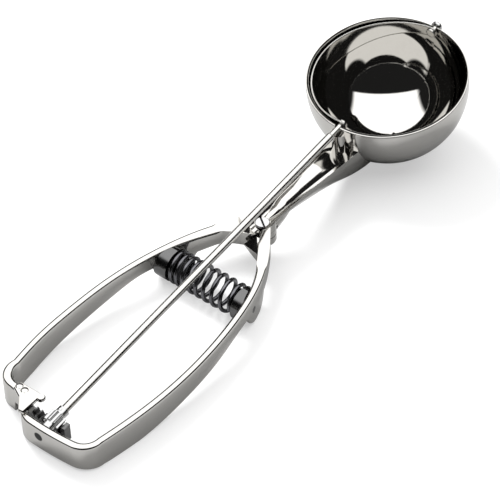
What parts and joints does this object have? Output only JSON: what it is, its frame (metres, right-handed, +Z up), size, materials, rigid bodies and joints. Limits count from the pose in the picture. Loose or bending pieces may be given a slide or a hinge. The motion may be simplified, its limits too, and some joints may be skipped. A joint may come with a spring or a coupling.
{
  "type": "lever ice cream scoop",
  "caption": "Ice cream scoop with a round bowl; squeezing the sprung lever beside the fixed handle sweeps a curved scraper through the bowl by rack and pinion.",
  "frame": {"origin": "middle of the bounding box's underside, on the table the scoop lies on", "axes": "+X towards the bowl, +Y towards the lever, +Z up from the table; the rod climbs towards the bowl"},
  "size_m": [0.2202, 0.0586, 0.0373],
  "materials": {
    "polished_steel": "mirror polished stainless steel",
    "spring_steel": "dark drawn wire",
    "turned_steel": "fine turned"
  },
  "bodies": {
    "frame": {"bowl": "polished_steel", "fixed_handle": "polished_steel", "fixed_spring_seat": "polished_steel", "pivot_screw": "polished_steel", "pivot_nut": "polished_steel", "pivot_washer": "turned_steel", "spring": "spring_steel"},
    "lever": {"lever_handle": "polished_steel", "lever_spring_seat": "polished_steel", "guide_cap": "polished_steel", "rack": "polished_steel", "rack_rivets": "polished_steel"},
    "rotor": {"drive_rod": "polished_steel", "pinion": "turned_steel", "pinion_pin": "turned_steel", "rear_spacer": "turned_steel", "scraper": "polished_steel", "scraper_clench": "polished_steel", "far_pin": "polished_steel", "far_washer": "turned_steel"}
  },
  "joints": [
    {"name": "rod_spin", "type": "hinge", "parent": "frame", "child": "rotor", "pos_m": [0.07882, 0, 0.03133], "axis": [-0.992, 0, -0.1266], "range_deg": [0, 160]},
    {"name": "lever_squeeze", "type": "hinge", "parent": "frame", "child": "lever", "pos_m": [0.00726, 0, 0.01292], "axis": [-0.0135, 0, 0.9999], "range_deg": [0, 3.97], "stiffness_Nm_per_rad": 1.5, "springref_deg": -6.88, "deforming": ["spring"]}
  ],
  "couplings": [
    {"joint": "lever_squeeze", "follows": "rod_spin", "ratio": 0.024816}
  ]
}
